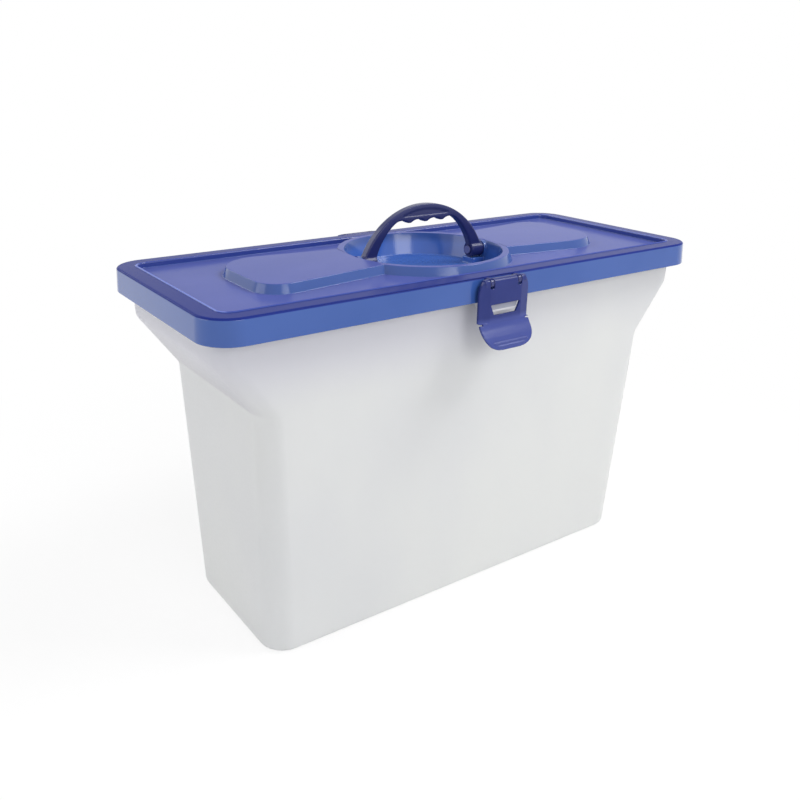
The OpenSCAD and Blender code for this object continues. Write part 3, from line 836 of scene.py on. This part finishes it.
# The round hinge at the top shows in front, because a cove is cut out round its upper half.
hinge_half, hinge_r, cove_r = 19 * mm, 2.9 * mm, 3.2 * mm
combine(latch, bar("hinge", hinge_r, -hinge_half, hinge_half, -hinge_y, hinge_z), "UNION")
cove = block("cove", (-25 * mm, face_y - shell_out - mm, hinge_z), (25 * mm, -hinge_y, 268 * mm))
combine(cove, bar("hinge_round", cove_r, -26 * mm, 26 * mm, -hinge_y, hinge_z), "DIFFERENCE")
combine(latch, cove, "DIFFERENCE")

# The window for the catch, then a slot for each ear of the lid and a slit above the tab.
window_half, window_low, window_high, window_share = 13.6 * mm, 240.9 * mm, 248.6 * mm, 0.75
window = block("window", (-window_half, cut_front, window_low), (window_half, face_y, window_high))
narrow_below(window, window_low + mm, window_share)
combine(latch, window, "DIFFERENCE")
for side in (-1, 1):
    for name, near, far, low_z, high_z in (
        ("slot", 11 * mm, 14.6 * mm, 260.3 * mm, 270 * mm),
        ("slit", 20 * mm, 26 * mm, 234.4 * mm, 235.6 * mm),
    ):
        left, right = to_side(side, near, far)
        cut = block(name, (left, cut_front, low_z), (right, face_y + mm, high_z))
        combine(latch, cut, "DIFFERENCE")
# Two thin beads across the end of the tab give a finger its hold.
for lift, half in ((2.2, 12.5 * mm), (4.4, 15.5 * mm)):
    depth = tab_h - (lift + 0.7) * mm
    combine(latch, bar("grip_bead", 0.6 * mm, -half, half, tab_y(depth), tab_z - depth, 16), "UNION")
melt(latch, 0.3 * mm, 6)

hold_alone(latch)
bpy.ops.object.duplicate()
back_latch = bpy.context.object
back_latch.name = "latch_back"
turn_round(back_latch)
finish_of(latch, "front_latch", "latch_plastic", "front_latch")
finish_of(back_latch, "back_latch", "latch_plastic", "back_latch")

# The tab is painted paler than the shell, as painted light where it tilts up to the light above, and
# the shell darker, as painted shade from the dark inside of the latch behind it.
dark_blue, shader, place = new_plastic("dark_blue_polypropylene", 0.2)
shader.inputs["Specular IOR Level"].default_value = 0.22
z = place.axes()[2]
cast = place.noise(60.0)
shell_painted_shade_tone = cast.blend((0.018, 0.028, 0.15, 1), (0.026, 0.038, 0.18, 1))
tab_painted_light_tone = cast.blend((0.046, 0.064, 0.25, 1), (0.056, 0.076, 0.28, 1))
# Painted light on the tab and painted shade on the shell.
tone = z.span(tab_z + mm, tab_z + 5.5 * mm).blend(tab_painted_light_tone, shell_painted_shade_tone)
place.feed(shader.inputs["Base Color"], tone)
place.feed(shader.inputs["Roughness"], place.noise(400.0).spread(0.16, 0.24))
place.feed(shader.inputs["Normal"], place.noise(120.0, 1.0).bump(0.1, 0.1 * mm))
for piece in (latch, back_latch):
    dress(piece, dark_blue)

# ------------------------------------------------------------ pins and rods
# A plain moulded pin turns in each foot of the handle, and a drawn wire rod holds each latch.
# They are the solids of the frame as they stand, with a material each.
pin_grey, shader, place = new_plastic("pin_plastic_grey", 0.35)
tone = place.noise(200.0).blend((0.10, 0.11, 0.26, 1), (0.14, 0.15, 0.32, 1))
place.feed(shader.inputs["Base Color"], tone)
wire, shader, place = new_plastic("drawn_wire", 0.3)
shader.inputs["Metallic"].default_value = 1.0
drawn = place.noise(500.0, 2.0, 0.5, (0.05, 1, 1))
place.feed(shader.inputs["Base Color"], drawn.blend((0.50, 0.50, 0.52, 1), (0.64, 0.64, 0.66, 1)))
place.feed(shader.inputs["Roughness"], drawn.spread(0.22, 0.4))
for name, material in (
    ("handle_pin_left", pin_grey), ("handle_pin_right", pin_grey),
    ("front_latch_pin", wire), ("back_latch_pin", wire),
):
    dress(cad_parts[name], material)
